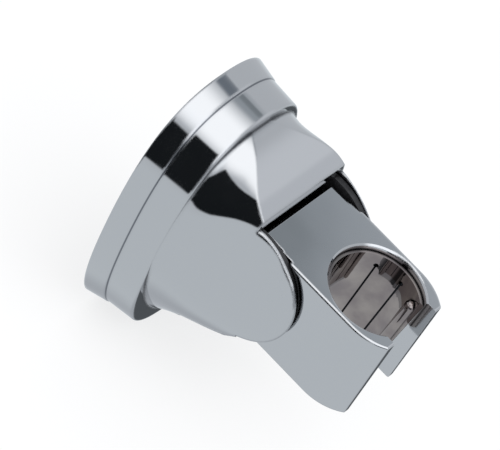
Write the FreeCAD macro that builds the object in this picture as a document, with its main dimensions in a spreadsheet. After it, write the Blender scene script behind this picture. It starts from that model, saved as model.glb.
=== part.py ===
import FreeCAD, Part
import Sketcher
import math
import os

# Hand shower holder for a wall. Millimetres, +Z up, the wall is the plane Y = 0 and the holder
# stands out towards -Y. The origin is the middle of the wall face. The swivel axis runs along X.

doc = FreeCAD.newDocument("HandShowerHolder")
sheet = doc.addObject("Spreadsheet::Sheet", "Sizes")

sizeTable = [
    ("baseHeight", 78.0, "height of the oval base"),
    ("baseWidth", 49.2, "width of the oval base"),
    ("baseSquareness", 2.62, "exponent of the base outline, 2 is an ellipse"),
    ("tierOneDepth", 5.9, "depth of the step on the wall"),
    ("tierTwoDepth", 8.2, "depth of the second step"),
    ("tierOneDraft", 1.1, "how much the first step narrows to its front"),
    ("tierStep", 0.35, "ledge between the two steps"),
    ("tierTwoDraft", 0.7, "how much the second step narrows to its front"),
    ("tierEdge", 0.6, "rounding of the step edges"),
    ("shellWall", 2.4, "wall of the moulded housing"),
    ("pivotOut", 31.7, "swivel axis from the wall"),
    ("pivotUp", 6.9, "swivel axis above the middle of the base"),
    ("earRadius", 17.4, "rounded end of the ears about the swivel axis"),
    ("earEdge", 1.0, "rounding of the ear edges"),
    ("flareAhead", 3.2, "flare of the dome, ahead of the base"),
    ("waistAhead", 7.9, "waist of the dome, ahead of the base"),
    ("tipPast", 1.0, "last rib of the dome, past the ear tips"),
    ("rootHalf", 22.35, "half width of the dome where it leaves the base"),
    ("flareHalf", 21.55, "half width of the dome at its flare"),
    ("waistHalf", 20.2, "half width of the dome at its waist"),
    ("earWall", 2.45, "side wall of the ears at the swivel axis"),
    ("earTipWall", 1.2, "the same at their tips"),
    ("rootUp", 33.85, "height of the dome above the middle where it leaves the base"),
    ("flareUp", 33.9, "the same at its flare"),
    ("waistUp", 33.5, "the same at its waist"),
    ("axisUp", 32.65, "the same at the swivel axis"),
    ("tipUp", 32.35, "the same at the ear tips"),
    ("rootDown", 36.4, "depth of the dome below the middle where it leaves the base"),
    ("flareDown", 31.4, "the same at its flare"),
    ("waistDown", 25.4, "the same at its waist"),
    ("axisDown", 20.2, "the same at the swivel axis, and out to the tips"),
    ("facetBack", 33.75, "height of the facet at the base"),
    ("facetDrop", 6.85, "drop of the facet from base to slot"),
    ("facetRound", 37.0, "crown of the facet, seen from the side"),
    ("underSlope", 24.0, "slope of the underside behind the ears, degrees"),
    ("apronOut", 28.8, "where the underside turns down to the base, from the wall"),
    ("apronDown", 21.2, "depth of that turn below the middle"),
    ("apronRound", 60.0, "hollow between that turn and the ears"),
    ("slotRadius", 16.7, "round back wall of the fork slot"),
    ("lipOut", 31.3, "front of the lip over the slot, from the wall"),
    ("lowerLipOut", 23.0, "front of the lip under the slot, from the wall"),
    ("yokeInner", 15.1, "inner radius of the yoke web"),
    ("yokeWeb", 1.4, "thickness of the yoke web"),
    ("armThick", 1.6, "thickness of the yoke arms"),
    ("armRadius", 16.3, "outer radius of the yoke arms"),
    ("webFrom", 112.0, "start of the yoke web round the axis, degrees"),
    ("webTo", 236.0, "end of the yoke web round the axis, degrees"),
    ("yokeBossRadius", 3.1, "radius of the screw bosses on the yoke"),
    ("yokeScrewSide", 9.0, "yoke screws from the middle"),
    ("yokeScrewLength", 4.2, "length of the yoke screws under the head"),
    ("yokeScrewRadius", 1.45, "radius of the yoke screws"),
    ("yokeScrewHead", 2.8, "head radius of the yoke screws"),
    ("yokeScrewHeadHigh", 1.9, "head height of the yoke screws"),
    ("crossDepth", 1.1, "depth of the cross in the yoke screws"),
    ("crossReach", 1.7, "half length of that cross"),
    ("crossHalf", 0.3, "half width of its arms"),
    ("yokePadRadius", 4.5, "pad of the housing under each screw head"),
    ("yokePadOut", 11.9, "rear face of those pads, from the wall"),
    ("axleRadius", 3.0, "radius of the swivel axle"),
    ("axleChamfer", 0.4, "chamfer of its ends"),
    ("runGap", 0.05, "running gap on the axle"),
    ("partGap", 0.2, "gap between parts that don't bear on each other"),
    ("tiltRest", 4.6, "front of the cradle below level at rest, degrees"),
    ("barrelRadius", 13.5, "round back of the cradle"),
    ("barrelStep", 0.5, "how much the cradle narrows at its small step"),
    ("midFrom", 15.4, "where the small step ends, from the axis"),
    ("cheekStep", 0.95, "how much it narrows at its large step"),
    ("wideFrom", 16.8, "where the full width starts, from the axis"),
    ("deckUp", 14.77, "top face of the cradle above the axis"),
    ("deckBack", 1.12, "back edge of the top face behind the axis"),
    ("soleDown", 13.57, "bottom face of the cradle below the axis"),
    ("noseTop", 37.9, "front of the cradle at the top, from the axis"),
    ("noseBottom", 38.8, "front of the cradle at the bottom"),
    ("noseRound", 14.5, "rounding of the front corners in plan"),
    ("noseRoundFrom", 28.5, "where the front corners start, from the axis"),
    ("cradleEdge", 0.6, "rounding of the cradle edges"),
    ("socketOut", 25.5, "socket axis from the swivel axis"),
    ("socketTopRadius", 12.45, "socket bore at the top face"),
    ("socketWall", 1.45, "side wall of the cradle beside the bore"),
    ("socketRim", 0.4, "bevel round the top of the bore"),
    ("socketTaper", 0.9, "how much the bore narrows to the ledge"),
    ("ledgeHeight", 1.5, "ledge at the foot of the socket"),
    ("ledgeRadius", 10.75, "hole through the ledge"),
    ("mouthHalf", 8.1, "half width of the socket mouth"),
    ("linerDrop", 1.8, "top of the liner below the top face"),
    ("linerWall", 0.85, "wall of the liner"),
    ("slitWidth", 0.5, "slits of the liner"),
    ("slitEyeRadius", 0.65, "round end of the slits"),
    ("slitTop", 9.4, "round end of the slits above the axis"),
    ("slitAngleA", 84.0, "first slit from the mouth, degrees"),
    ("slitAngleB", 121.0, "second slit from the mouth, degrees"),
    ("beadRadius", 1.5, "half-round beads beside the mouth"),
    ("beadSet", 0.6, "middle of the beads from the side of the mouth"),
    ("beadTop", 9.0, "top of the beads above the axis"),
    ("bushRadius", 4.5, "outside of the bushes"),
    ("bushLength", 8.0, "length of the bushes in the bore"),
    ("bushFlangeRadius", 7.4, "flange of the bushes"),
    ("bushFlangeThick", 1.0, "thickness of the flange"),
    ("flangeSink", 0.3, "how deep the flange lies under the side of the cradle"),
    ("washerRadius", 7.2, "friction washer outside"),
    ("washerThick", 0.6, "friction washer thickness"),
    ("springRadius", 6.5, "cone spring outside"),
    ("springMetal", 0.4, "cone spring sheet"),
    ("springHeight", 0.75, "height of the cone spring, pressed"),
    ("padThick", 1.0, "foam pad behind the wall plate"),
    ("plateThick", 2.5, "wall plate"),
    ("plateRimHeight", 4.0, "rim of the wall plate"),
    ("plateRimThick", 1.6, "thickness of that rim"),
    ("plateGap", 0.4, "wall plate to housing"),
    ("rimGapMore", 1.0, "gap of the rim wider than the hook, each side"),
    ("screwSpacing", 40.0, "wall screw holes, upper to lower"),
    ("screwHoleRadius", 2.25, "wall screw holes"),
    ("screwSlot", 4.0, "length that the screw holes allow for setting"),
    ("hookHalf", 6.0, "half width of the hook and its lug"),
    ("hookThick", 2.0, "thickness of the hook"),
    ("hookStand", 4.8, "inside of the hook from the front of the plate"),
    ("hookLip", 3.0, "height of the hook's lip"),
    ("lockTabGap", 0.6, "lock screw boss to the tab on the plate"),
    ("padHoleMore", 1.0, "holes of the foam pad larger than those of the plate"),
    ("lugThick", 1.8, "thickness of the lug that the hook holds"),
    ("lugReach", 5.2, "how far the lug stands in from the wall of the housing"),
    ("lockOut", 9.4, "lock screw from the wall"),
    ("lockRadius", 2.0, "lock screw radius"),
    ("lockLength", 8.0, "lock screw length"),
    ("lockKeyRadius", 1.15, "hexagon socket of the lock screw, to its corners"),
    ("lockKeyDepth", 2.4, "depth of that socket"),
    ("lockBossRadius", 4.6, "boss of the lock screw"),
    ("lockBossHeight", 6.2, "height of that boss inside the housing"),
    ("insertRadius", 2.9, "outside of the threaded insert"),
    ("insertLength", 5.0, "length of the threaded insert"),
    ("lockTabThick", 2.4, "tab that the lock screw bears in"),
]

sheet.set("A1", "name")
sheet.set("B1", "value")
sheet.set("C1", "meaning")
for row, (name, value, meaning) in enumerate(sizeTable, start=2):
    sheet.set("A%d" % row, name)
    sheet.set("B%d" % row, str(value))
    sheet.setAlias("B%d" % row, name)
    sheet.set("C%d" % row, meaning)
doc.recompute()


class Dim:
    """A number and the sheet expression that gives it."""

    def __init__(self, value, text):
        self.value = value
        self.text = text

    def join(self, other, sign, value):
        right = other.text if isinstance(other, Dim) else repr(other)
        return Dim(value, "(%s %s %s)" % (self.text, sign, right))

    def __add__(self, other):
        return self.join(other, "+", self.value + num(other))

    def __sub__(self, other):
        return self.join(other, "-", self.value - num(other))

    def __mul__(self, other):
        return self.join(other, "*", self.value * num(other))

    def __truediv__(self, other):
        return self.join(other, "/", self.value / num(other))

    def __neg__(self):
        return Dim(-self.value, "(0 - %s)" % self.text)


def num(thing):
    return thing.value if isinstance(thing, Dim) else float(thing)


def asDim(thing):
    return thing if isinstance(thing, Dim) else Dim(float(thing), repr(float(thing)))


def root(thing):
    return Dim(math.sqrt(thing.value), "sqrt(%s)" % thing.text)


def sine(angle):
    return Dim(math.sin(math.radians(angle.value)), "sin(%s * 1deg)" % angle.text)


def cosine(angle):
    return Dim(math.cos(math.radians(angle.value)), "cos(%s * 1deg)" % angle.text)


def tangent(angle):
    return Dim(math.tan(math.radians(angle.value)), "tan(%s * 1deg)" % angle.text)


class Sizes:
    """Each row of the sheet as an attribute."""


size = Sizes()
for name, value, meaning in sizeTable:
    setattr(size, name, Dim(float(sheet.get(name)), "Sizes." + name))

# Places that several pieces share, all from the driving sizes.
baseFront = size.tierOneDepth + size.tierTwoDepth
halfWidth = size.baseWidth / 2
halfHeight = size.baseHeight / 2
pivotY = -size.pivotOut
cradleHalf = size.socketTopRadius + size.socketWall
midHalf = cradleHalf - size.cheekStep
barrelHalf = midHalf - size.barrelStep
flangeOut = barrelHalf - size.flangeSink
flangeIn = flangeOut - size.bushFlangeThick
washerOut = flangeOut + size.washerThick
armInner = washerOut + size.springHeight
armOuter = armInner + size.armThick
slotHalf = armOuter + size.partGap
axisHalf = slotHalf + size.earWall
tipHalf = slotHalf + size.earTipWall
ledgeUp = size.ledgeHeight - size.soleDown
plateFront = size.padThick + size.plateThick
stepInset = size.tierOneDraft + size.tierStep
hollowFloor = baseFront - size.shellWall
beadSide = size.mouthHalf + size.beadSet
hookOut = plateFront + size.hookStand
lockBossTop = -halfHeight + size.shellWall + stepInset + size.lockBossHeight
tabUp = lockBossTop + size.lockTabGap
shoulderSteps = 4   # flats round the shoulder of a base step, and round the top of a bead
capTurn = 75.0      # how far round the top of a bead they go, degrees
past = 1.0          # how far a cutting shape runs past the face that it cuts
touching = 1e-6     # two points nearer than this are one


def bind(thing, **values):
    """Set properties from dimensions, each through its own expression."""
    for name, value in values.items():
        thing.setExpression(name, asDim(value).text)
    return thing


def place(thing, x=0.0, y=0.0, z=0.0, axis=None, angle=None):
    """Put an object at a point, turned about one axis by an angle."""
    if axis is not None:
        turn = FreeCAD.Rotation(FreeCAD.Vector(*axis), num(angle))
        thing.Placement = FreeCAD.Placement(FreeCAD.Vector(num(x), num(y), num(z)), turn)
    for name, value in (("x", x), ("y", y), ("z", z)):
        if isinstance(value, Dim):
            thing.setExpression("Placement.Base." + name, value.text)
        else:
            setattr(thing.Placement.Base, name, value)
    if isinstance(angle, Dim):
        thing.setExpression("Placement.Rotation.Angle", angle.text)
    return thing


def box(name, x, y, z, dx, dy, dz):
    """A box between a low corner and its three sides."""
    thing = doc.addObject("Part::Box", name)
    bind(thing, Length=dx, Width=dy, Height=dz)
    return place(thing, x, y, z)


def rod(name, radius, length, x, y, z, along="Z"):
    """A cylinder that starts at a point and runs along +X, -Y, +Y or +Z."""
    turns = {"Z": ((0, 0, 1), 0.0), "X": ((0, 1, 0), 90.0), "-Y": ((1, 0, 0), 90.0),
             "Y": ((1, 0, 0), -90.0)}
    thing = doc.addObject("Part::Cylinder", name)
    bind(thing, Radius=radius, Height=length)
    axis, angle = turns[along]
    return place(thing, x, y, z, axis, angle)


def fuse(name, *parts):
    thing = doc.addObject("Part::MultiFuse", name)
    thing.Shapes = list(parts)
    thing.Refine = True
    return thing


def cut(name, base, *tools):
    thing = doc.addObject("Part::Cut", name)
    thing.Base = base
    thing.Tool = tools[0] if len(tools) == 1 else fuse(name + "Tools", *tools)
    thing.Refine = True
    return thing


def common(name, first, second):
    thing = doc.addObject("Part::MultiCommon", name)
    thing.Shapes = [first, second]
    return thing


def bodyPlane(body, role):
    for feature in body.Origin.OriginFeatures:
        if feature.Role == role:
            return feature


def sketchIn(body, name, plane, points, arcs=None):
    """A closed outline on a plane of the body. Each corner is driven by expressions, and a side
    named in arcs is an arc of that radius, +1 or -1 for the side that it bulges to."""
    arcs = arcs or {}
    sketch = body.newObject("Sketcher::SketchObject", name)
    sketch.AttachmentSupport = [(bodyPlane(body, plane), "")]
    sketch.MapMode = "FlatFace"
    count = len(points)
    corners = [FreeCAD.Vector(num(x), num(y), 0) for x, y in points]
    for i in range(count):
        start, end = corners[i], corners[(i + 1) % count]
        if i in arcs:
            radius, side = arcs[i]
            middle = (start + end) * 0.5
            chord = end - start
            normal = FreeCAD.Vector(chord.y, -chord.x, 0).normalize() * side
            rise = num(radius) - math.sqrt(max(num(radius) ** 2 - chord.Length ** 2 / 4, 0))
            first, last = (start, end) if side > 0 else (end, start)
            sketch.addGeometry(Part.Arc(first, middle + normal * rise, last), False)
        else:
            sketch.addGeometry(Part.LineSegment(start, end), False)
    ends = [arcEnds(sketch, i, corners[i]) for i in range(count)]
    for i in range(count):
        after = (i + 1) % count
        sketch.addConstraint(Sketcher.Constraint("Coincident", i, ends[i][1], after, ends[after][0]))
    for i, (x, y) in enumerate(points):
        for kind, value in (("DistanceX", x), ("DistanceY", y)):
            index = sketch.addConstraint(Sketcher.Constraint(kind, i, ends[i][0], num(value)))
            if isinstance(value, Dim):
                sketch.setExpression("Constraints[%d]" % index, value.text)
    for i, (radius, side) in arcs.items():
        index = sketch.addConstraint(Sketcher.Constraint("Radius", i, num(radius)))
        if isinstance(radius, Dim):
            sketch.setExpression("Constraints[%d]" % index, radius.text)
    return sketch


def arcEnds(sketch, index, start):
    """Which end of a side is its start. An arc is always stored anticlockwise."""
    side = sketch.Geometry[index]
    if side.StartPoint.distanceToPoint(start) < touching:
        return 1, 2
    return 2, 1


def newBody(name):
    body = doc.addObject("PartDesign::Body", name)
    return body


def turned(name, points, arcs=None):
    """A turned piece about the X axis of its body: points are distance along and radius."""
    body = newBody(name)
    sketch = sketchIn(body, name + "Section", "XY_Plane", points, arcs)
    spin = body.newObject("PartDesign::Revolution", name + "Turn")
    spin.Profile = sketch
    spin.ReferenceAxis = (sketch, ["H_Axis"])
    spin.Angle = 360.0
    body.Tip = spin
    return body


def outlineCurve(half, up, down, sharpUp, sharpDown, out, lean):
    """An oval outline of four curves. Each quarter has its handles along X and Z, long enough for
    its middle to lie where a superellipse of that exponent has it. A lean makes the lower quarters
    hold their width longer and then run straighter to a narrow foot."""
    edges = []
    corners = [(half, 0.0), (0.0, up), (-half, 0.0), (0.0, -down)]
    for quarter, (x0, z0) in enumerate(corners):
        x3, z3 = corners[(quarter + 1) % 4]
        sharp, shift = (sharpUp, 0.0) if quarter < 2 else (sharpDown, lean)
        reach = (8 * 2 ** (-1.0 / sharp) - 4) / 3
        upright, level = reach * (1 + shift), reach * (1 - shift)
        if z0 == 0.0:
            x1, z1, x2, z2 = x0, z3 * upright, x0 * level, z3
        else:
            x1, z1, x2, z2 = x3 * level, z0, x3, z0 * upright
        curve = Part.BezierCurve()
        curve.setPoles([FreeCAD.Vector(x, -out, z)
                        for x, z in ((x0, z0), (x1, z1), (x2, z2), (x3, z3))])
        edges.append(curve.toShape())
    return Part.Wire(edges)


def outline(name, half, up, down, sharpUp, sharpDown, out, inset=0.0, lean=0.0):
    """The oval outline as a wire on a plane parallel to the wall."""
    wire = doc.addObject("Part::Feature", name)
    wire.Shape = outlineCurve(num(half) - num(inset), num(up) - num(inset),
                              num(down) - num(inset), sharpUp, sharpDown, num(out), lean)
    return wire


def loft(name, wires, ruled):
    thing = doc.addObject("Part::Loft", name)
    thing.Sections = wires
    thing.Solid = True
    thing.Ruled = ruled
    return thing


def baseOutline(name, inset, out):
    sharp = size.baseSquareness.value
    return outline(name, halfWidth, halfHeight, halfHeight, sharp, sharp, out, inset)


def tier(name, back, front, backInset, frontInset, edge=None):
    """A step of the base. With an edge it ends in a rounded shoulder of that radius."""
    edge = edge or Dim(0.0, "0")
    flank = loft(name, [baseOutline(name + "Back", backInset, back),
                        baseOutline(name + "Front", frontInset, front - edge)], True)
    if num(edge) == 0:
        return flank
    ribs = []
    for i in range(shoulderSteps + 1):
        turn = asDim(90.0 * i / shoulderSteps)
        ribs.append(baseOutline("%sEdge%d" % (name, i), frontInset + edge - edge * cosine(turn).value,
                                front - edge + edge * sine(turn).value))
    return fuse(name + "Rounded", flank, loft(name + "Shoulder", ribs, True))


# Each rib of the dome: exponents of its upper and lower half, and the lean of the lower one.
ribForms = {
    "root": (2.7, 1.6, 0.35),
    "flare": (2.5, 1.8, 0.25),
    "waist": (2.95, 2.3, 0.1),
    "axis": (4.2, 2.9, 0.0),
    "tip": (4.5, 3.6, 0.0),
}


def domeLoft(name, inset, first):
    """The dome: one smooth skin from the base to beyond the ear tips."""
    ribs = [
        ("root", first, size.rootHalf, size.rootUp, size.rootDown),
        ("flare", baseFront + size.flareAhead, size.flareHalf, size.flareUp, size.flareDown),
        ("waist", baseFront + size.waistAhead, size.waistHalf, size.waistUp, size.waistDown),
        ("axis", size.pivotOut, axisHalf, size.axisUp, size.axisDown),
        ("tip", size.pivotOut + size.earRadius + size.tipPast, tipHalf, size.tipUp,
         size.axisDown),
    ]
    wires = []
    for rib, out, half, up, down in ribs:
        sharpUp, sharpDown, lean = ribForms[rib]
        wires.append(outline(name + rib.capitalize(), half, up, down, sharpUp, sharpDown, out,
                             inset, lean))
    return loft(name, wires, False)


def sideProfile(name, inset, ears):
    """The dome seen from the side, as a slab: crowned facet and the hollow under the ears. It
    has the round end of the ears too, or stops at their root."""
    body = newBody(name)
    radius = size.earRadius - inset
    slope = size.underSlope
    facetUp = size.facetBack - inset
    leave = (pivotY - radius * sine(slope), size.pivotUp - radius * cosine(slope))
    topY = -size.lipOut
    over = size.pivotOut - size.lipOut
    topZ = size.pivotUp + root(radius * radius - over * over)
    zero = Dim(0.0, "0")
    points = [(zero, -halfHeight), (zero, facetUp), (-baseFront, facetUp),
              (topY, facetUp - size.facetDrop)]
    arcs = {2: (size.facetRound, 1)}
    if ears:
        points += [(topY, topZ), (pivotY - radius, size.pivotUp)]
        arcs.update({4: (radius, 1), 5: (radius, 1)})
    else:
        points += [(topY, size.pivotUp)]
    arcs[len(points)] = (size.apronRound, -1)
    points += [leave, (-size.apronOut, -size.apronDown + inset), (-baseFront, -halfHeight)]
    sketch = sketchIn(body, name + "Outline", "YZ_Plane", points, arcs)
    pad = body.newObject("PartDesign::Pad", name + "Slab")
    pad.Profile = sketch
    pad.setExpression("Length", (size.baseWidth * 2).text)
    pad.Midplane = True
    body.Tip = pad
    return body


subParts = {}


def keep(node, thing):
    """Name a finished piece: its label names its file."""
    thing.Label = node
    subParts[node] = thing
    return thing


def edgeList(shape, pick):
    return [i for i, edge in enumerate(shape.Edges, start=1) if pick(edge)]


def rounded(name, base, radius, pick):
    """Round the edges that a test picks out."""
    doc.recompute()
    thing = doc.addObject("Part::Fillet", name)
    thing.Base = base
    thing.Edges = [(i, num(radius), num(radius)) for i in edgeList(base.Shape, pick)]
    return thing


def makeHousing():
    """The chrome moulding: two oval steps, the dome with its facet, and the fork."""
    frontInset = stepInset + size.tierTwoDraft
    tierOne = tier("TierOne", Dim(0.0, "0"), size.tierOneDepth, Dim(0.0, "0"), size.tierOneDraft,
                   size.tierEdge)
    tierTwo = tier("TierTwo", size.tierOneDepth, baseFront, stepInset, frontInset, size.tierEdge)
    firstRib = baseFront - size.tierEdge
    skin = domeLoft("Dome", 0.0, firstRib)
    ears = common("EarDiscs", skin, rod("EarRound", size.earRadius, halfWidth * 2, -halfWidth,
                                        pivotY, size.pivotUp, "X"))

    def earRim(side):
        """One seed edge on each ear's rim: the rounding runs on all round it."""
        def pick(edge):
            middle = edge.valueAt((edge.FirstParameter + edge.LastParameter) / 2)
            return middle.x * side > num(slotHalf) and middle.z > num(size.pivotUp)
        return pick

    for side, mark in ((1, "Right"), (-1, "Left")):
        ears = rounded("EarRim" + mark, ears, size.earEdge, earRim(side))
    dome = common("DomeBehind", skin, sideProfile("DomeSide", 0.0, False))
    outer = fuse("HousingOuter", tierOne, tierTwo, dome, ears)

    wall = size.shellWall
    floorOut = hollowFloor
    baseHollow = loft("BaseHollow", [
        baseOutline("HollowBack", wall, asDim(-past)),
        baseOutline("HollowFront", stepInset + wall, floorOut)], True)
    domeHollow = common("DomeHollowCut", domeLoft("DomeHollow", wall, floorOut - past),
                        sideProfile("HollowSide", wall, True))
    hollowRadius = size.slotRadius + wall
    solidBack = hollowRadius / 2   # the ears are solid ahead of this, from the axis
    slotWall = rod("SlotWall", hollowRadius, halfWidth * 2, -halfWidth, pivotY, size.pivotUp, "X")
    keepFront = box("EarsSolid", -halfWidth, pivotY - size.earRadius * 2, -halfHeight,
                    halfWidth * 2, size.earRadius * 2 + solidBack, halfHeight * 2)
    slotSolid = fuse("SlotSolid", slotWall, keepFront)
    hollowFront = cut("HollowAhead", domeHollow, slotSolid)
    slotBack = cut("HollowBase", baseHollow, slotWall)
    hollow = fuse("Hollow", slotBack, hollowFront)

    slotRound = rod("SlotRound", size.slotRadius, slotHalf * 2, -slotHalf, pivotY,
                    size.pivotUp, "X")
    slotFront = box("SlotFront", -slotHalf, -size.baseHeight, -size.baseHeight,
                    slotHalf * 2, size.baseHeight - size.lipOut, size.baseHeight * 2)
    slotUnder = box("SlotUnder", -slotHalf, -size.baseHeight, -size.baseHeight,
                    slotHalf * 2, size.baseHeight - size.lowerLipOut,
                    size.baseHeight + size.pivotUp)
    slot = fuse("Slot", slotRound, slotFront, slotUnder)
    shell = cut("HousingShell", outer, hollow, slot)
    pads = []
    holes = []
    for side in (-1, 1):
        where = size.yokeScrewSide * side
        mark = "Left" if side < 0 else "Right"
        pads.append(rod("YokePad" + mark, size.yokePadRadius, hollowFloor + wall - size.yokePadOut,
                        where, -size.yokePadOut, size.pivotUp, "-Y"))
        holes.append(rod("YokeHole" + mark, size.yokeBossRadius + size.partGap / 2,
                         size.tierTwoDepth, where, -size.yokePadOut + past, size.pivotUp, "-Y"))
    lugOut = hookOut - size.lugThick - size.partGap
    lug = box("HookLug", -size.hookHalf, -lugOut - size.lugThick, halfHeight - wall - size.lugReach,
              size.hookHalf * 2, size.lugThick, size.lugReach + wall / 2 - stepInset)
    boss = common("LockBoss", rod("LockBossRound", size.lockBossRadius,
                                  size.lockBossHeight + wall, 0.0, -size.lockOut,
                                  lockBossTop - size.lockBossHeight - wall, "Z"),
                  tier("LockBossSkin", size.tierOneDepth, baseFront, stepInset, frontInset,
                       size.tierEdge))
    body = fuse("HousingBody", shell, *pads, lug, boss)
    key = rod("LockKeyHole", size.lockRadius + size.partGap / 2, size.baseHeight + lockBossTop,
              0.0, -size.lockOut, -size.baseHeight, "Z")
    seat = rod("InsertSeat", size.insertRadius, size.insertLength + size.partGap, 0.0,
               -size.lockOut, lockBossTop - size.insertLength, "Z")
    return cut("HousingDone", body, *holes, key, seat)


def makeWallPlate():
    """The plastic plate on the wall, with the hook and the tab that hold the housing."""
    slack = size.shellWall + size.plateGap
    taper = stepInset / (hollowFloor + past)
    rimOut = plateFront + size.plateRimHeight

    def plateLoft(name, back, front, inset):
        return loft(name, [baseOutline(name + "Back", slack + inset + taper * (back + past), back),
                           baseOutline(name + "Front", slack + inset + taper * (front + past),
                                       front)], True)

    slab = plateLoft("PlateSlab", size.padThick, plateFront, Dim(0.0, "0"))
    rim = cut("PlateRim", plateLoft("PlateRimOuter", plateFront, rimOut, Dim(0.0, "0")),
              plateLoft("PlateRimInner", plateFront - past, rimOut + past, size.plateRimThick),
              box("PlateRimGap", -size.hookHalf - size.rimGapMore, -rimOut - past, -halfHeight,
                  (size.hookHalf + size.rimGapMore) * 2, size.plateRimHeight + past,
                  size.baseHeight))
    lipUp = halfHeight - size.shellWall - size.lugReach + size.hookLip
    post = box("HookPost", -size.hookHalf, -hookOut - size.hookThick,
               lipUp - size.hookLip - size.partGap - size.hookThick, size.hookHalf * 2,
               hookOut + size.hookThick - plateFront, size.hookThick)
    lip = box("HookLip", -size.hookHalf, -hookOut - size.hookThick,
              lipUp - size.hookLip - size.partGap - size.hookThick, size.hookHalf * 2,
              size.hookThick, size.hookLip + size.hookThick + size.partGap)
    tabReach = size.lockOut + size.lockRadius * 2
    tab = box("LockTab", -size.lockRadius * 2, -tabReach, tabUp, size.lockRadius * 4,
              tabReach - plateFront, size.lockTabThick)
    solid = fuse("PlateSolid", slab, rim, post, lip, tab)
    holes = [screwSlot("PlateSlot" + mark, size.screwHoleRadius, up, plateFront)
             for mark, up in (("Upper", size.screwSpacing / 2), ("Lower", -size.screwSpacing / 2))]
    dimple = rod("LockDimple", size.lockRadius + size.partGap / 2, size.lockTabThick, 0.0,
                 -size.lockOut, tabUp, "Z")
    return cut("PlateDone", solid, *holes, dimple)


def screwSlot(name, radius, up, out):
    """An upright slot through everything from the wall to a distance from it."""
    halfSlot = size.screwSlot / 2
    ends = [rod(name + mark, radius, out + past * 2, 0.0, past, end, "-Y")
            for mark, end in (("Top", up + halfSlot), ("Foot", up - halfSlot))]
    middle = box(name + "Middle", -radius, -out - past, up - halfSlot, radius * 2,
                 out + past * 2, size.screwSlot)
    return fuse(name, middle, *ends)


def makeBackingPad():
    """The soft pad between plate and tiles."""
    inset = size.shellWall + size.plateGap
    slab = loft("PadSlab", [baseOutline("PadBack", inset, Dim(0.0, "0")),
                            baseOutline("PadFront", inset, size.padThick)], True)
    holes = [screwSlot("PadSlot" + mark, size.screwHoleRadius + size.padHoleMore, up, size.padThick)
             for mark, up in (("Upper", size.screwSpacing / 2), ("Lower", -size.screwSpacing / 2))]
    return cut("PadDone", slab, *holes)


def makeLockScrew():
    """The set screw in the underside of the base, with its hexagon socket."""
    tip = tabUp + size.lockTabThick / 2
    shank = rod("LockShank", size.lockRadius, size.lockLength, 0.0, -size.lockOut,
                tip - size.lockLength, "Z")
    key = doc.addObject("Part::Prism", "LockKey")
    key.Polygon = 6
    bind(key, Circumradius=size.lockKeyRadius, Height=size.lockKeyDepth)
    place(key, 0.0, -size.lockOut, tip - size.lockLength)
    return cut("LockScrewDone", shank, key)


def makeLockInsert():
    """The brass insert that the lock screw turns in."""
    outside = rod("InsertOutside", size.insertRadius, size.insertLength, 0.0, -size.lockOut,
                  lockBossTop - size.insertLength, "Z")
    bore = rod("InsertBore", size.lockRadius, size.insertLength, 0.0, -size.lockOut,
               lockBossTop - size.insertLength, "Z")
    return cut("InsertDone", outside, bore)


def makeYoke():
    """The black bearing yoke: a web round the back of the slot, two arms, two screw bosses."""
    outer = size.yokeInner + size.yokeWeb
    ring = doc.addObject("Part::Cylinder", "YokeRing")
    bind(ring, Radius=outer, Height=armOuter * 2, Angle=size.webTo - size.webFrom)
    inner = rod("YokeRingBore", size.yokeInner, (armOuter + past) * 2, -armOuter - past, pivotY,
                size.pivotUp, "X")
    turn = FreeCAD.Rotation(FreeCAD.Vector(1, 0, 0), -90 - size.webTo.value)
    ring.Placement = FreeCAD.Placement(FreeCAD.Vector(0, 0, 0),
                                       turn * FreeCAD.Rotation(FreeCAD.Vector(0, 1, 0), 90))
    place(ring, -armOuter, pivotY, size.pivotUp)
    web = cut("YokeWeb", ring, inner)
    parts = [web]
    holes = [rod("YokeAxleHole", size.axleRadius, (armOuter + past) * 2, -armOuter - past, pivotY,
                 size.pivotUp, "X")]
    for side, mark in ((-1, "Left"), (1, "Right")):
        start = armInner if side > 0 else -armOuter
        parts.append(rod("YokeArm" + mark, size.armRadius, size.armThick, start, pivotY,
                         size.pivotUp, "X"))
        where = size.yokeScrewSide * side
        bossEnd = size.yokePadOut + size.partGap
        bossTop = size.pivotOut - size.yokeInner - size.yokeWeb / 2
        parts.append(rod("YokeBoss" + mark, size.yokeBossRadius, bossTop - bossEnd, where,
                         -bossEnd, size.pivotUp, "-Y"))
        holes.append(rod("YokePilot" + mark, size.yokeScrewRadius, size.yokeScrewLength, where,
                         -size.yokePadOut, size.pivotUp, "-Y"))
    return cut("YokeDone", fuse("YokeSolid", *parts), *holes)


def makeYokeScrew(mark, side):
    """A short pan-head screw from behind, with a cross slot."""
    where = size.yokeScrewSide * side
    shank = rod("YokeShank" + mark, size.yokeScrewRadius, size.yokeScrewLength, where,
                -size.yokePadOut, size.pivotUp, "-Y")
    head = rod("YokeHead" + mark, size.yokeScrewHead, size.yokeScrewHeadHigh, where,
               -size.yokePadOut, size.pivotUp, "Y")
    back = -size.yokePadOut + size.yokeScrewHeadHigh
    arms = ((size.crossReach, size.crossHalf), (size.crossHalf, size.crossReach))
    slots = [box("YokeCross%s%d" % (mark, i), where - wide, back - size.crossDepth,
                 size.pivotUp - high, wide * 2, size.crossDepth + past, high * 2)
             for i, (wide, high) in enumerate(arms)]
    solid = fuse("YokeScrewSolid" + mark, shank, head)
    return cut("YokeScrewDone" + mark, solid, *slots)


def onAxis(thing, mark):
    """Seat a turned piece on the swivel axis; left pieces are turned round to face left."""
    if mark == "Left":
        place(thing, 0.0, pivotY, size.pivotUp, (0, 0, 1), 180.0)
    else:
        place(thing, 0.0, pivotY, size.pivotUp)
    return thing


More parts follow.
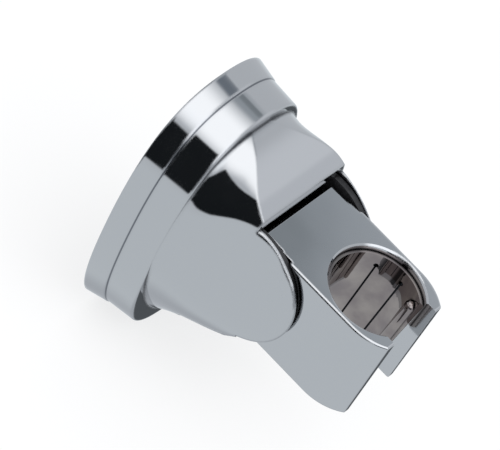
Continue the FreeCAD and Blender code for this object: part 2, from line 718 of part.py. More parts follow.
def makeAxle():
    """The steel axle, with small chamfered ends."""
    chamfer = size.axleChamfer
    points = [(-armOuter, 0.0), (-armOuter, size.axleRadius - chamfer),
              (-armOuter + chamfer, size.axleRadius), (armOuter - chamfer, size.axleRadius),
              (armOuter, size.axleRadius - chamfer), (armOuter, 0.0)]
    return onAxis(turned("Axle", points), "Right")


def makeBush(mark):
    """A flanged bush, pressed into the barrel of the cradle."""
    bore = size.axleRadius + size.runGap
    start = flangeIn - size.bushLength
    points = [(start, bore), (start, size.bushRadius), (flangeIn, size.bushRadius),
              (flangeIn, size.bushFlangeRadius), (flangeOut, size.bushFlangeRadius),
              (flangeOut, bore)]
    return onAxis(turned("Bush" + mark, points), mark)


def makeWasher(mark):
    """The friction washer between bush and spring."""
    hole = size.axleRadius + size.partGap
    points = [(flangeOut, hole), (flangeOut, size.washerRadius), (washerOut, size.washerRadius),
              (washerOut, hole)]
    return onAxis(turned("Washer" + mark, points), mark)


def makeSpring(mark):
    """The cone spring that presses on the friction washer."""
    hole = size.axleRadius + size.partGap
    metal = size.springMetal
    points = [(washerOut, size.springRadius), (washerOut + metal, size.springRadius),
              (armInner, hole), (armInner - metal, hole)]
    return onAxis(turned("Spring" + mark, points), mark)


def onCradle(thing):
    """Seat a piece that swings with the cradle, tilted as it hangs at rest."""
    return place(thing, 0.0, pivotY, size.pivotUp, (1, 0, 0), size.tiltRest)


def makeCradle():
    """The swivel arm: round back with the axle bore, flat top, open socket at the front."""
    body = newBody("CradleSide")
    stepZ = root(size.barrelRadius * size.barrelRadius - size.deckBack * size.deckBack)
    points = [(-size.noseTop, size.deckUp), (-size.noseBottom, -size.soleDown),
              (Dim(0.0, "0"), -size.soleDown), (size.barrelRadius, Dim(0.0, "0")),
              (size.deckBack, stepZ), (size.deckBack, size.deckUp)]
    arcs = {2: (size.soleDown, 1), 3: (size.barrelRadius, 1)}
    sketch = sketchIn(body, "CradleSideOutline", "YZ_Plane", points, arcs)
    pad = body.newObject("PartDesign::Pad", "CradleSideSlab")
    pad.Profile = sketch
    pad.setExpression("Length", (cradleHalf * 2).text)
    pad.Midplane = True
    body.Tip = pad

    plan = newBody("CradlePlan")
    reach = size.noseRound
    into = size.noseBottom - size.noseRoundFrom
    cornerX = cradleHalf - reach + root(reach * reach - into * into)
    back = size.barrelRadius * 2
    points = [(-cradleHalf, back), (-cradleHalf, -size.noseRoundFrom),
              (-cornerX, -size.noseBottom), (cornerX, -size.noseBottom),
              (cradleHalf, -size.noseRoundFrom), (cradleHalf, back)]
    arcs = {1: (reach, 1), 3: (reach, 1)}
    sketch = sketchIn(plan, "CradlePlanOutline", "XY_Plane", points, arcs)
    pad = plan.newObject("PartDesign::Pad", "CradlePlanSlab")
    pad.Profile = sketch
    pad.setExpression("Length", (size.deckUp * 4).text)
    pad.Midplane = True
    plan.Tip = pad
    block = rounded("CradleRound", common("CradleBlock", body, plan), size.cradleEdge,
                    lambda edge: True)

    tools = []
    for side, mark in ((-1, "Left"), (1, "Right")):
        for step, (half, radius) in enumerate(((barrelHalf, size.midFrom),
                                               (midHalf, size.wideFrom))):
            start = half if side > 0 else -cradleHalf - past
            tools.append(rod("CradleCheek%s%d" % (mark, step), radius,
                             cradleHalf - half + past, start, 0.0, 0.0, "X"))
        start = flangeIn if side > 0 else -barrelHalf - past
        tools.append(rod("CradleCounter" + mark, size.bushFlangeRadius + size.partGap,
                         barrelHalf - flangeIn + past, start, 0.0, 0.0, "X"))
    tools.append(rod("CradleBore", size.bushRadius, barrelHalf * 2, -barrelHalf, 0.0,
                     0.0, "X"))
    rise = size.deckUp - ledgeUp
    cone = doc.addObject("Part::Cone", "SocketBore")
    bind(cone, Radius1=size.socketTopRadius - size.socketTaper,
         Radius2=size.socketTopRadius + size.socketTaper * past / rise, Height=rise + past)
    place(cone, 0.0, -size.socketOut, ledgeUp)
    tools.append(cone)
    rim = doc.addObject("Part::Cone", "SocketRim")
    bind(rim, Radius1=size.socketTopRadius, Radius2=size.socketTopRadius + size.socketRim * 2,
         Height=size.socketRim * 2)
    tools.append(place(rim, 0.0, -size.socketOut, size.deckUp - size.socketRim))
    tools.append(rod("SocketLedge", size.ledgeRadius, size.deckUp * 2, 0.0, -size.socketOut,
                     -size.deckUp, "Z"))
    tools.append(box("SocketMouth", -size.mouthHalf, -size.noseBottom * 2, -size.deckUp * 2,
                     size.mouthHalf * 2, size.noseBottom * 2 - size.socketOut, size.deckUp * 4))
    return onCradle(cut("CradleDone", block, *tools))


def beadCap(mark, x, y):
    """The domed top of a bead, as a few cones one on another."""
    caps = []
    for i in range(shoulderSteps):
        low, high = (asDim(capTurn * k / shoulderSteps) for k in (i, i + 1))
        cone = doc.addObject("Part::Cone", "BeadCap%s%d" % (mark, i))
        bind(cone, Radius1=size.beadRadius * cosine(low).value,
             Radius2=size.beadRadius * cosine(high).value,
             Height=size.beadRadius * (sine(high).value - sine(low).value))
        caps.append(place(cone, x, y, size.beadTop + size.beadRadius * sine(low).value))
    return caps


def makeLiner():
    """The C-shaped sleeve of the socket: tapered, slit, with a bead at each end."""
    top = size.deckUp - size.linerDrop
    rise = size.deckUp - ledgeUp
    slope = size.socketTaper / rise
    foot = size.socketTopRadius - size.socketTaper - size.runGap
    head = foot + slope * (top - ledgeUp)
    shell = []
    for name, radius in (("Outer", Dim(0.0, "0")), ("Inner", size.linerWall)):
        cone = doc.addObject("Part::Cone", "Liner" + name)
        bind(cone, Radius1=foot - radius, Radius2=head - radius, Height=top - ledgeUp)
        shell.append(place(cone, 0.0, -size.socketOut, ledgeUp))
    sleeve = cut("LinerSleeve", shell[0], shell[1])
    tools = [box("LinerMouth", -size.mouthHalf, -size.noseBottom * 2, -size.deckUp * 2,
                 size.mouthHalf * 2, size.noseBottom * 2 - size.socketOut, size.deckUp * 4)]
    for angle, mark in ((size.slitAngleA, "A"), (size.slitAngleB, "B")):
        for side in (-1, 1):
            name = "LinerSlit%s%s" % (mark, "Left" if side < 0 else "Right")
            slit = box(name, 0.0, 0.0, 0.0, size.slitWidth, size.socketTopRadius + past,
                       size.slitTop - ledgeUp + past)
            eye = rod(name + "Eye", size.slitEyeRadius, size.socketTopRadius + past, 0.0, 0.0,
                      0.0, "Y")
            outward = 180.0 - num(angle) * side
            spin = FreeCAD.Rotation(FreeCAD.Vector(0, 0, 1), outward)
            shift = spin.multVec(FreeCAD.Vector(-num(size.slitWidth) / 2, 0, 0))
            slit.Placement = FreeCAD.Placement(
                FreeCAD.Vector(shift.x, shift.y - num(size.socketOut), num(ledgeUp) - past), spin)
            eye.Placement = FreeCAD.Placement(
                FreeCAD.Vector(0, -num(size.socketOut), num(size.slitTop)),
                spin * FreeCAD.Rotation(FreeCAD.Vector(1, 0, 0), -90))
            tools += [slit, eye]
    cutSleeve = cut("LinerCut", sleeve, *tools)
    beads = []
    for side, mark in ((-1, "Left"), (1, "Right")):
        beadX = beadSide * side
        beadOut = size.socketOut + root(foot * foot - beadSide * beadSide) - size.linerWall
        beads.append(rod("Bead" + mark, size.beadRadius, size.beadTop - ledgeUp, beadX, -beadOut,
                         ledgeUp, "Z"))
        beads += beadCap(mark, beadX, -beadOut)
    keepIn = doc.addObject("Part::Cone", "BeadLimit")
    bind(keepIn, Radius1=foot, Radius2=head, Height=top - ledgeUp)
    place(keepIn, 0.0, -size.socketOut, ledgeUp)
    beadPair = common("BeadPair", fuse("Beads", *beads), keepIn)
    return onCradle(fuse("LinerDone", cutSleeve, beadPair))


keep("housing", makeHousing())
keep("wall_plate", makeWallPlate())
keep("backing_pad", makeBackingPad())
keep("lock_screw", makeLockScrew())
keep("lock_insert", makeLockInsert())
keep("pivot_yoke", makeYoke())
keep("pivot_axle", makeAxle())
keep("cradle", makeCradle())
keep("socket_liner", makeLiner())
for mark, side in (("Left", -1), ("Right", 1)):
    ending = mark.lower()
    keep("yoke_screw_" + ending, makeYokeScrew(mark, side))
    keep("barrel_bush_" + ending, makeBush(mark))
    keep("friction_washer_" + ending, makeWasher(mark))
    keep("disc_spring_" + ending, makeSpring(mark))

doc.recompute()
for thing in doc.Objects:
    if "Invalid" in thing.State or "Error" in thing.State:
        raise RuntimeError("%s failed: %s" % (thing.Name, thing.State))

os.makedirs("parts", exist_ok=True)
for node, thing in subParts.items():
    shape = thing.Shape
    if shape.isNull() or not shape.isValid():
        raise RuntimeError("%s is not a valid shape" % node)
    print("%-24s solids %d volume %.1f faces %d" % (node, len(shape.Solids), shape.Volume,
                                                 len(shape.Faces)))
    shape.exportStep("parts/%s.step" % node)
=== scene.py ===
import math
import bpy
from mathutils import Matrix, Vector


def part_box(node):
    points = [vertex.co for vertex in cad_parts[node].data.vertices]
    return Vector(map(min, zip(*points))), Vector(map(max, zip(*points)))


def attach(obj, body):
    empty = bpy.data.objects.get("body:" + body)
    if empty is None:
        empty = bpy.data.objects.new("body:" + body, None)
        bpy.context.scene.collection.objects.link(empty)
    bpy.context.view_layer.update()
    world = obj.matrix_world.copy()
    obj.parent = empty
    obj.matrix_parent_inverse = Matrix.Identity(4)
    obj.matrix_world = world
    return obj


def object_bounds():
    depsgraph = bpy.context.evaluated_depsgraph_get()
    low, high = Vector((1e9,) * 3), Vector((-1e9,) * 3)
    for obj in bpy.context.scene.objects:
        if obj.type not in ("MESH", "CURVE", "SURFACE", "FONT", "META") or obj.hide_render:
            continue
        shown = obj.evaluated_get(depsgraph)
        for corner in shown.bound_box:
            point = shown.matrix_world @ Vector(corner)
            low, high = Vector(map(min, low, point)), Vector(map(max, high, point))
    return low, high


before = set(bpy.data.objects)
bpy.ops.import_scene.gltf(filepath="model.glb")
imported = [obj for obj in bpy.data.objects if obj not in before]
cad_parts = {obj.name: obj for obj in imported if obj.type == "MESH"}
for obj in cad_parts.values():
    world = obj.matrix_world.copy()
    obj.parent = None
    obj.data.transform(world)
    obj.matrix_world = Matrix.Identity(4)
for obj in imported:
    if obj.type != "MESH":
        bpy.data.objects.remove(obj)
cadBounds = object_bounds()
mm = 0.001
print("frame loaded:", len(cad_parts), "nodes")

# view of the photograph, as a turn round the holder and a roll about the line of sight
cameraView = {
    "azimuth": -70.627,
    "elevation": 46.403,
    "roll": 28.362,
    "distance": 0.780,
    "target": (0.0, -0.039, 0.0),
    "aside": -0.009378,  # of the camera, across the picture
    "above": 0.014088,  # of the camera, up the picture
    "lens": 237.46,
    "sensor": 36.0,
    "nearest": 0.01,
    "furthest": 20.0,
}


def placeCamera(view):
    turn, rise, roll = (math.radians(view[k]) for k in ("azimuth", "elevation", "roll"))
    back = Vector((math.sin(turn) * math.cos(rise), -math.cos(turn) * math.cos(rise), math.sin(rise)))
    right = Vector((0, 0, 1)).cross(back).normalized()
    up = back.cross(right)
    across = right * math.cos(roll) + up * math.sin(roll)
    upward = up * math.cos(roll) - right * math.sin(roll)
    place = Matrix((across, upward, back)).transposed().to_4x4()
    place.translation = (Vector(view["target"]) + across * view["aside"] + upward * view["above"]
                         + back * view["distance"])
    lens = bpy.data.cameras.new("photoCamera")
    lens.lens = view["lens"]
    lens.sensor_width = view["sensor"]
    lens.clip_start = view["nearest"]
    lens.clip_end = view["furthest"]
    camera = bpy.data.objects.new("photoCamera", lens)
    camera.matrix_world = place
    bpy.context.scene.collection.objects.link(camera)
    bpy.context.scene.camera = camera


# short helpers for node trees
def newTree(block):
    block.use_nodes = True
    block.node_tree.nodes.clear()
    return block.node_tree


def addNode(tree, kind, inputs=None, **settings):
    node = tree.nodes.new(kind)
    for name, value in settings.items():
        setattr(node, name, value)
    for name, value in (inputs or {}).items():
        if isinstance(value, bpy.types.NodeSocket):
            tree.links.new(value, node.inputs[name])
        else:
            node.inputs[name].default_value = value
    return node


def mathNode(tree, operation, first, second=0.0):
    return addNode(tree, "ShaderNodeMath", {0: first, 1: second}, operation=operation).outputs[0]


def smoothStep(tree, value, low, high, fromValue=0.0, toValue=1.0):
    ramp = {"Value": value, "From Min": low, "From Max": high, "To Min": fromValue, "To Max": toValue}
    return addNode(tree, "ShaderNodeMapRange", ramp, interpolation_type="SMOOTHSTEP").outputs["Result"]


# the two colours and the result are sockets 6, 7 and 2 of a Mix node
def mixColour(tree, factor, first, second):
    node = addNode(tree, "ShaderNodeMix", data_type="RGBA")
    for name, value in {"Factor": factor, 6: first, 7: second}.items():
        socket = node.inputs[name]
        if isinstance(value, bpy.types.NodeSocket):
            tree.links.new(value, socket)
        elif hasattr(value, "__len__"):
            socket.default_value = (*value, 1.0)
        else:
            socket.default_value = value
    return node.outputs[2]


# the studio that the polished metal mirrors: plain walls over a pale floor, with patches of other
# tones; an azimuth is 0 in front of the holder and -90 on its near side, and angles are in degrees
studio = {
    "plain": (0.66, 0.69, 0.73),
    "floor": (0.72, 0.765, 0.805),
    "horizon": (-0.35, -0.15),  # slopes between which the floor turns into the walls
    "background": (1.0, 1.0, 1.0),  # for the camera
    "soft": (0.92, 0.94, 0.97),  # for light on matt surfaces
    "patches": [  # colour, azimuth, rise, where it is full and where it ends
        ((0.53, 0.56, 0.60), 60, -72, 14, 37),  # floor in the holder's shade
        ((0.10, 0.11, 0.12), 71, -47, 7, 17),  # its darkest part, which the ledges mirror
        ((0.83, 0.86, 0.91), 60, 39, 3, 20),  # pale wall that the facet mirrors
        ((0.73, 0.76, 0.81), 51, 30, 1, 6),  # the greyer foot of that wall
        ((0.42, 0.46, 0.50), 104, 52, 2, 11),  # grey board that the cradle's flat top mirrors
        ((0.28, 0.31, 0.335), 101, 50, 0.5, 3.6),  # the darker middle of that board
        ((0.22, 0.25, 0.29), 83.5, 55.5, 1.5, 7.5),  # darker board beside it
        ((1.60, 1.62, 1.65), -115, 80, 14, 42),  # white card overhead
        ((1.60, 1.64, 1.70), -30, 45, 18, 34),  # white card in front
        ((0.10, 0.11, 0.13), -42, -3, 8, 22),  # dark opening below the front card
        ((0.10, 0.11, 0.13), 160, 12, 8, 22),  # dark opening on the wall side
    ],
    "dark": (0.012, 0.014, 0.016),
    "gapRound": (-108, 15, 46, 54),  # azimuth, rise, full and end of the dark gap on the near side
    "gapSides": [  # what cuts it, as a direction with the slopes where it ends and where it is full
        ((0.344, 0.168, 0.924), -0.560, -0.530),  # above the floor
        ((0.689, 0.336, 0.642), 0.020, -0.020),  # below the card overhead
        ((0.470, -0.692, 0.548), 0.115, 0.075),  # beside the card in front
    ],
}


def azimuthRise(azimuth, rise):
    turn, lift = math.radians(azimuth), math.radians(rise)
    return math.sin(turn) * math.cos(lift), -math.cos(turn) * math.cos(lift), math.sin(lift)


def buildStudio():
    world = bpy.data.worlds.new("studio")
    bpy.context.scene.world = world
    tree = newTree(world)
    way = addNode(tree, "ShaderNodeTexCoord").outputs["Generated"]

    def along(axis):
        node = addNode(tree, "ShaderNodeVectorMath", {0: way}, operation="DOT_PRODUCT")
        node.inputs[1].default_value = axis
        return node.outputs["Value"]

    def patch(azimuth, rise, inner, outer):
        near = along(azimuthRise(azimuth, rise))
        return smoothStep(tree, near, math.cos(math.radians(outer)), math.cos(math.radians(inner)))

    height = along((0.0, 0.0, 1.0))
    colour = mixColour(tree, smoothStep(tree, height, *studio["horizon"]), studio["floor"], studio["plain"])
    for tone, *place in studio["patches"]:
        colour = mixColour(tree, patch(*place), colour, tone)
    gap = patch(*studio["gapRound"])
    for axis, end, full in studio["gapSides"]:
        gap = mathNode(tree, "MULTIPLY", gap, smoothStep(tree, along(axis), end, full))
    colour = mixColour(tree, gap, colour, studio["dark"])
    path = addNode(tree, "ShaderNodeLightPath")
    mirrored = mathNode(tree, "MAXIMUM", path.outputs["Is Glossy Ray"], path.outputs["Is Transmission Ray"])
    colour = mixColour(tree, mirrored, studio["soft"], colour)
    colour = mixColour(tree, path.outputs["Is Camera Ray"], colour, studio["background"])
    light = addNode(tree, "ShaderNodeBackground", {"Color": colour})
    out = addNode(tree, "ShaderNodeOutputWorld")
    tree.links.new(light.outputs[0], out.inputs["Surface"])


softLamp = {"azimuth": -20, "rise": 62, "distance": 0.9, "size": 0.7, "power": 2.6}


def buildLamp(lamp):
    light = bpy.data.lights.new("softLamp", "AREA")
    light.shape = "DISK"
    light.size = lamp["size"]
    light.energy = lamp["power"]
    holder = bpy.data.objects.new("softLamp", light)
    way = Vector(azimuthRise(lamp["azimuth"], lamp["rise"]))
    holder.location = way * lamp["distance"]
    holder.rotation_mode = "QUATERNION"
    holder.rotation_quaternion = way.to_track_quat("Z", "Y")
    holder.visible_glossy = False
    bpy.context.scene.collection.objects.link(holder)


# white paper under the holder; to the camera it shows partly as plain white, with the shadow on it
paperFloor = {
    "half": 1.4,
    "gap": 0.0004,
    "colour": (0.94, 0.94, 0.94, 1.0),
    "glow": (1.0, 1.0, 1.0, 1.0),
    "white": 0.72,
}


def buildFloor(paper):
    level = cadBounds[0].z - paper["gap"]
    half = paper["half"]
    mesh = bpy.data.meshes.new("floor")
    corners = [(-half, -half, level), (half, -half, level), (half, half, level), (-half, half, level)]
    mesh.from_pydata(corners, [], [(0, 1, 2, 3)])
    floor = bpy.data.objects.new("floor", mesh)
    bpy.context.scene.collection.objects.link(floor)
    material = bpy.data.materials.new("floorPaper")
    tree = newTree(material)
    matt = addNode(tree, "ShaderNodeBsdfDiffuse", {"Color": paper["colour"]})
    glow = addNode(tree, "ShaderNodeEmission", {"Color": paper["glow"], "Strength": 1.0})
    seen = addNode(tree, "ShaderNodeLightPath").outputs["Is Camera Ray"]
    share = mathNode(tree, "MULTIPLY", seen, paper["white"])
    mixed = addNode(tree, "ShaderNodeMixShader", {0: share, 1: matt.outputs[0], 2: glow.outputs[0]})
    out = addNode(tree, "ShaderNodeOutputMaterial")
    tree.links.new(mixed.outputs[0], out.inputs["Surface"])
    mesh.materials.append(material)
    floor.visible_glossy = False


# helpers of the finishes, where sizes, depths and radii are in millimetres
def objectPlace(tree):
    return addNode(tree, "ShaderNodeTexCoord").outputs["Object"]


def grain(tree, size, detail=3.0, stretch=(1.0, 1.0, 1.0)):
    mapping = addNode(tree, "ShaderNodeMapping", {"Vector": objectPlace(tree), "Scale": stretch})
    pattern = {"Vector": mapping.outputs[0], "Detail": detail, "Scale": 1 / (size * mm)}
    return addNode(tree, "ShaderNodeTexNoise", pattern).outputs["Fac"]


def bump(tree, height, depth, normal=None):
    inputs = {"Height": height, "Strength": 1.0, "Distance": depth * mm}
    if normal:
        inputs["Normal"] = normal
    return addNode(tree, "ShaderNodeBump", inputs).outputs["Normal"]


def surface(name, **inputs):
    material = bpy.data.materials.new(name)
    tree = newTree(material)
    shader = addNode(tree, "ShaderNodeBsdfPrincipled")
    for key, value in inputs.items():
        shader.inputs[key.replace("_", " ")].default_value = value
    out = addNode(tree, "ShaderNodeOutputMaterial")
    tree.links.new(shader.outputs[0], out.inputs["Surface"])
    return material, tree, shader


# painted shade: the colour darkens in inside corners that close in, as ambient occlusion finds them: fully
# up to the first share of open space, and not at all from the second
paintedCornerShade = {"samples": 6, "open": (0.60, 0.95)}


def paintCornerShade(tree, reach, dark, colour):
    around = {"Distance": reach * mm}
    clear = addNode(tree, "ShaderNodeAmbientOcclusion", around, samples=paintedCornerShade["samples"]).outputs["AO"]
    return mixColour(tree, smoothStep(tree, clear, *paintedCornerShade["open"]), dark, colour)


# bright chrome plating; its roughness drifts from polish to haze, and each moulding has slow waves,
# edges rounded by the inner radius within reach of the middle and by the outer radius beyond it,
# painted shade in inside corners, and a thin painted shade line on the housing where the first step of the
# base ends
chrome = {
    "colour": (0.560, 0.568, 0.580),
    # painted shade in inside corners: its dark colour and its reach
    "cornerShadeColour": (0.025, 0.028, 0.034),
    "cornerShadeReach": 1.1,
    "polish": 0.035,
    "haze": 0.075,
    "hazeSize": 9.0,
    "hazeLimits": (0.35, 0.75),
    "waveDetail": 1.0,
    "waveDepth": 0.05,
    "edgeSamples": 6,
    "edgeBlend": 1.0,
    # painted shade line at the foot of the first step: its colour, and the half widths where it is full and
    # where it ends
    "stepShadeColour": (0.19, 0.20, 0.22),
    "stepShadeHalf": (0.08, 0.26),
    "housing": {"wave": 14.0, "inner": 1.00, "outer": 0.60, "reach": 20.0, "step": 5.9},
    "cradle": {"wave": 18.0, "inner": 0.10, "outer": 0.65, "reach": 12.4, "step": None},
}


# painted shade: a thin dark line across the housing where the first step of the base ends
def paintStepShade(tree, depth, colour):
    outward = addNode(tree, "ShaderNodeSeparateXYZ", {0: objectPlace(tree)}).outputs["Y"]
    away = mathNode(tree, "ABSOLUTE", mathNode(tree, "ADD", outward, depth * mm))
    full, end = (half * mm for half in chrome["stepShadeHalf"])
    return mixColour(tree, smoothStep(tree, away, full, end), chrome["stepShadeColour"], colour)


def softEdge(tree, look):
    across = addNode(tree, "ShaderNodeSeparateXYZ", {0: objectPlace(tree)}).outputs["X"]
    side = mathNode(tree, "ABSOLUTE", across)
    start = (look["reach"] - chrome["edgeBlend"]) * mm
    radius = smoothStep(tree, side, start, look["reach"] * mm, look["inner"] * mm, look["outer"] * mm)
    return addNode(tree, "ShaderNodeBevel", {"Radius": radius}, samples=chrome["edgeSamples"]).outputs[0]


def chromePlate(name, look):
    material, tree, shader = surface(name, Metallic=1.0)
    # painted shade darkens the plating's colour in inside corners
    shade = paintCornerShade(tree, chrome["cornerShadeReach"], chrome["cornerShadeColour"], chrome["colour"])
    # painted shade line where the first step of the base ends, on the housing only
    if look["step"]:
        shade = paintStepShade(tree, look["step"], shade)
    tree.links.new(shade, shader.inputs["Base Color"])
    haze = grain(tree, chrome["hazeSize"])
    rough = smoothStep(tree, haze, *chrome["hazeLimits"], chrome["polish"], chrome["haze"])
    tree.links.new(rough, shader.inputs["Roughness"])
    waves = grain(tree, look["wave"], chrome["waveDetail"])
    tree.links.new(bump(tree, waves, chrome["waveDepth"], softEdge(tree, look)), shader.inputs["Normal"])
    return material


# the other mouldings: two tones in clouds of the grain's size, painted shade in inside corners, and pits,
# which on the liner are slow waves; the liner mirrors the studio in its own warm grey, as a tinted plating
# does
moulded = {
    "linerPlastic": {
        "colour": (0.36, 0.323, 0.302), "other": (0.25, 0.219, 0.218), "grain": 7.0,
        "rough": 0.03, "metal": 1.0, "pit": 8.0, "pitDepth": 0.03},
    "blackAcetal": {
        "colour": (0.012, 0.012, 0.013), "other": (0.022, 0.022, 0.024), "grain": 1.2,
        "rough": 0.34, "metal": 0.0, "pit": 0.25, "pitDepth": 0.004},
    "platePlastic": {
        "colour": (0.55, 0.56, 0.57), "other": (0.50, 0.51, 0.53), "grain": 1.0,
        "rough": 0.42, "metal": 0.0, "pit": 0.25, "pitDepth": 0.005},
    "naturalAcetal": {
        "colour": (0.78, 0.77, 0.72), "other": (0.72, 0.71, 0.66), "grain": 0.8,
        "rough": 0.33, "metal": 0.0, "pit": 0.25, "pitDepth": 0.003},
    "fibre": {
        "colour": (0.34, 0.12, 0.06), "other": (0.25, 0.08, 0.04), "grain": 0.3,
        "rough": 0.62, "metal": 0.0, "pit": 0.15, "pitDepth": 0.010},
}
# the mouldings' painted shade in inside corners takes the dark colour and reach given here
moulding = {"clouds": (0.3, 0.7), "pitDetail": 2.0, "cornerShadeColour": (0.010, 0.010, 0.011), "cornerShadeReach": 0.7}


def mouldedPlastic(name):
    look = moulded[name]
    material, tree, shader = surface(name, Roughness=look["rough"], Metallic=look["metal"])
    clouds = smoothStep(tree, grain(tree, look["grain"]), *moulding["clouds"])
    shade = mixColour(tree, clouds, look["colour"], look["other"])
    # painted shade darkens the moulding's colour in inside corners
    shade = paintCornerShade(tree, moulding["cornerShadeReach"], moulding["cornerShadeColour"], shade)
    tree.links.new(shade, shader.inputs["Base Color"])
    pits = grain(tree, look["pit"], moulding["pitDetail"])
    tree.links.new(bump(tree, pits, look["pitDepth"]), shader.inputs["Normal"])
    return material


# metals with fine lines along the axis that has a stretch of 1
metals = {
    "brightSteel": {"colour": (0.58, 0.57, 0.55, 1.0), "rough": 0.20, "stretch": (1.0, 30.0, 30.0)},
    "stainless": {"colour": (0.50, 0.49, 0.47, 1.0), "rough": 0.26, "stretch": (20.0, 20.0, 1.0)},
    "brass": {"colour": (0.72, 0.50, 0.20, 1.0), "rough": 0.24, "stretch": (20.0, 20.0, 1.0)},
    "zincPlate": {"colour": (0.62, 0.64, 0.66, 1.0), "rough": 0.30, "stretch": (8.0, 1.0, 8.0)},
    "springSteel": {"colour": (0.36, 0.35, 0.34, 1.0), "rough": 0.28, "stretch": (1.0, 12.0, 12.0)},
}
fineLines = {"size": 1.5, "detail": 2.0, "limits": (0.3, 0.7), "rougher": 0.12, "depth": 0.006}


def turnedMetal(name):
    look = metals[name]
    material, tree, shader = surface(name, Metallic=1.0, Base_Color=look["colour"])
    lines = grain(tree, fineLines["size"], fineLines["detail"], look["stretch"])
    roughest = look["rough"] + fineLines["rougher"]
    rough = smoothStep(tree, lines, *fineLines["limits"], look["rough"], roughest)
    tree.links.new(rough, shader.inputs["Roughness"])
    tree.links.new(bump(tree, lines, fineLines["depth"]), shader.inputs["Normal"])
    return material


foam = {
    "colour": (0.030, 0.031, 0.034),
    "pore": (0.010, 0.010, 0.011),
    "rough": 0.85,
    "cell": 0.5,
    "wallLimits": (0.1, 0.5),
    "depth": 0.12,
}


def closedFoam():
    material, tree, shader = surface("foamPad", Roughness=foam["rough"])
    pattern = {"Vector": objectPlace(tree), "Scale": 1 / (foam["cell"] * mm)}
    wall = addNode(tree, "ShaderNodeTexVoronoi", pattern).outputs["Distance"]
    shade = mixColour(tree, smoothStep(tree, wall, *foam["wallLimits"]), foam["pore"], foam["colour"])
    tree.links.new(shade, shader.inputs["Base Color"])
    tree.links.new(bump(tree, wall, foam["depth"]), shader.inputs["Normal"])
    return material


def dressNodes():
    finishes = {
        "housing": chromePlate("chromeHousing", chrome["housing"]),
        "cradle": chromePlate("chromeCradle", chrome["cradle"]),
        "socket_liner": mouldedPlastic("linerPlastic"),
        "pivot_yoke": mouldedPlastic("blackAcetal"),
        "wall_plate": mouldedPlastic("platePlastic"),
        "barrel_bush": mouldedPlastic("naturalAcetal"),
        "friction_washer": mouldedPlastic("fibre"),
        "backing_pad": closedFoam(),
        "pivot_axle": turnedMetal("brightSteel"),
        "lock_screw": turnedMetal("stainless"),
        "lock_insert": turnedMetal("brass"),
        "yoke_screw": turnedMetal("zincPlate"),
        "disc_spring": turnedMetal("springSteel"),
    }
    for name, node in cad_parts.items():
        finish = next(finishes[k] for k in finishes if name.startswith(k))
        if node.data.materials:
            for index in range(len(node.data.materials)):
                node.data.materials[index] = finish
        else:
            node.data.materials.append(finish)
    return finishes


# what the solids leave plain: the threads of the screws and the knurl of the brass insert
def startNodes(name, sizes):
    tree = bpy.data.node_groups.new(name, "GeometryNodeTree")
    for label, kind in [("Seats", "Geometry")] + sizes + [("Turn", "Vector"), ("Finish", "Material")]:
        tree.interface.new_socket(label, in_out="INPUT", socket_type="NodeSocket" + kind)
    tree.interface.new_socket("Pieces", in_out="OUTPUT", socket_type="NodeSocketGeometry")
    return tree, addNode(tree, "NodeGroupInput").outputs


def seatAndFinish(tree, given, shape):
    turned = addNode(tree, "GeometryNodeTransform", {"Geometry": shape, "Rotation": given["Turn"]})
    seated = addNode(tree, "GeometryNodeInstanceOnPoints",
                     {"Points": given["Seats"], "Instance": turned.outputs[0]})
    real = addNode(tree, "GeometryNodeRealizeInstances", {0: seated.outputs[0]})
    dressed = addNode(tree, "GeometryNodeSetMaterial", {0: real.outputs[0], "Material": given["Finish"]})
    addNode(tree, "NodeGroupOutput", {0: dressed.outputs[0]})
    return tree


threadDetail = {"pointsPerTurn": 20, "ridgeCorners": 4}


def threadNodes():
    sizes = [("Turns", "Float"), ("Length", "Float"), ("Radius", "Float"), ("Ridge", "Float")]
    tree, given = startNodes("screwThread", sizes)
    winding = addNode(tree, "GeometryNodeCurveSpiral",
                      {"Resolution": threadDetail["pointsPerTurn"], "Rotations": given["Turns"],
                       "Start Radius": given["Radius"], "End Radius": given["Radius"],
                       "Height": given["Length"]})
    upright = addNode(tree, "GeometryNodeSetCurveNormal", {0: winding.outputs[0]}, mode="Z_UP")
    flank = addNode(tree, "GeometryNodeCurvePrimitiveCircle",
                    {"Resolution": threadDetail["ridgeCorners"], "Radius": given["Ridge"]}, mode="RADIUS")
    ridge = addNode(tree, "GeometryNodeCurveToMesh",
                    {"Curve": upright.outputs[0], "Profile Curve": flank.outputs[0], "Fill Caps": True})
    return seatAndFinish(tree, given, ridge.outputs[0])


# each rib is a square bar on its corner, set round a ring so that an edge points outwards
def knurlNodes():
    sizes = [("Count", "Int"), ("Length", "Float"), ("Radius", "Float"), ("Ridge", "Float")]
    tree, given = startNodes("insertKnurl", sizes)
    ring = addNode(tree, "GeometryNodeMeshCircle", {"Vertices": given["Count"], "Radius": given["Radius"]})
    size = addNode(tree, "ShaderNodeCombineXYZ", {0: given["Ridge"], 1: given["Ridge"], 2: given["Length"]})
    bar = addNode(tree, "GeometryNodeMeshCube", {"Size": size.outputs[0]})
    rib = addNode(tree, "GeometryNodeTransform", {"Geometry": bar.outputs[0]})
    rib.inputs["Rotation"].default_value = (0.0, 0.0, math.radians(45))
    away = addNode(tree, "GeometryNodeInputPosition")
    outward = addNode(tree, "FunctionNodeAlignRotationToVector", {"Vector": away.outputs[0]},
                      axis="X", pivot_axis="Z")
    ribs = addNode(tree, "GeometryNodeInstanceOnPoints",
                   {"Points": ring.outputs[0], "Instance": rib.outputs[0], "Rotation": outward.outputs[0]})
    return seatAndFinish(tree, given, ribs.outputs[0])


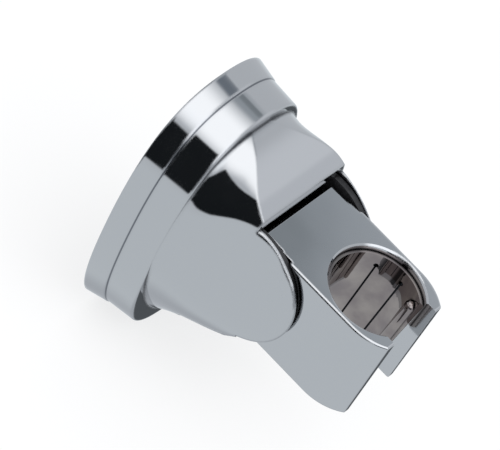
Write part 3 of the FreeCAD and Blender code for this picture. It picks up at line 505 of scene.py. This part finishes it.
def growPiece(name, tree, seats, slot, **values):
    start = bpy.data.meshes.new(name + "Seats")
    start.from_pydata(seats, [], [])
    holder = bpy.data.objects.new(name + "Seats", start)
    bpy.context.scene.collection.objects.link(holder)
    growth = holder.modifiers.new(name, "NODES")
    growth.node_group = tree
    for item in tree.interface.items_tree:
        if item.in_out == "INPUT" and item.name in values:
            growth[item.identifier] = values[item.name]
    evaluated = holder.evaluated_get(bpy.context.evaluated_depsgraph_get())
    piece = bpy.data.objects.new(name, bpy.data.meshes.new_from_object(evaluated))
    holder.modifiers.remove(growth)
    bpy.data.objects.remove(holder)
    bpy.context.scene.collection.objects.link(piece)
    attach(piece, "root")
    print(name, "ready:", len(piece.data.polygons), "faces")


# the screws through the housing into the yoke lie along Y, with their heads on the wall side
yokeThread = {"turns": 3.5, "radius": 1.42, "ridge": 0.22, "head": 1.9, "runOut": 0.35}


def addYokeThreads(tree, finish):
    screws = [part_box(name) for name in ("yoke_screw_left", "yoke_screw_right")]
    low, high = screws[0]
    start = high[1] - (yokeThread["head"] + yokeThread["runOut"]) * mm
    length = high[1] - low[1] - (yokeThread["head"] + yokeThread["runOut"] * 2) * mm
    seats = [((lower[0] + upper[0]) / 2, start, (low[2] + high[2]) / 2) for lower, upper in screws]
    growPiece("yoke_screw_threads", tree, seats, "zinc_screw", Turns=yokeThread["turns"], Length=length,
              Radius=yokeThread["radius"] * mm, Ridge=yokeThread["ridge"] * mm,
              Turn=(math.radians(90), 0.0, 0.0), Finish=finish)


lockThread = {"turns": 9.0, "radius": 1.93, "ridge": 0.16, "runOut": 0.5}


def addLockThread(tree, finish):
    low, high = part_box("lock_screw")
    runOut = lockThread["runOut"] * mm
    seats = [((low[0] + high[0]) / 2, (low[1] + high[1]) / 2, low[2] + runOut)]
    growPiece("lock_screw_thread", tree, seats, "stainless_screw", Turns=lockThread["turns"],
              Length=high[2] - low[2] - runOut * 2, Radius=lockThread["radius"] * mm,
              Ridge=lockThread["ridge"] * mm, Turn=(0.0, 0.0, 0.0), Finish=finish)


insertKnurl = {"count": 28, "radius": 2.86, "ridge": 0.22, "runOut": 0.6}


def addInsertKnurl(tree, finish):
    low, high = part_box("lock_insert")
    runOut = insertKnurl["runOut"] * mm
    seats = [[(low[i] + high[i]) / 2 for i in range(3)]]
    growPiece("lock_insert_knurl", tree, seats, "insert_brass", Count=insertKnurl["count"],
              Length=high[2] - low[2] - runOut * 2, Radius=insertKnurl["radius"] * mm,
              Ridge=insertKnurl["ridge"] * mm, Turn=(0.0, 0.0, 0.0), Finish=finish)


bpy.context.scene.view_settings.view_transform = "Standard"
placeCamera(cameraView)
buildStudio()
buildLamp(softLamp)
buildFloor(paperFloor)
print("studio ready")
finishes = dressNodes()
print("finishes ready")
screwThread = threadNodes()
addYokeThreads(screwThread, finishes["yoke_screw"])
addLockThread(screwThread, finishes["lock_screw"])
addInsertKnurl(knurlNodes(), finishes["lock_insert"])
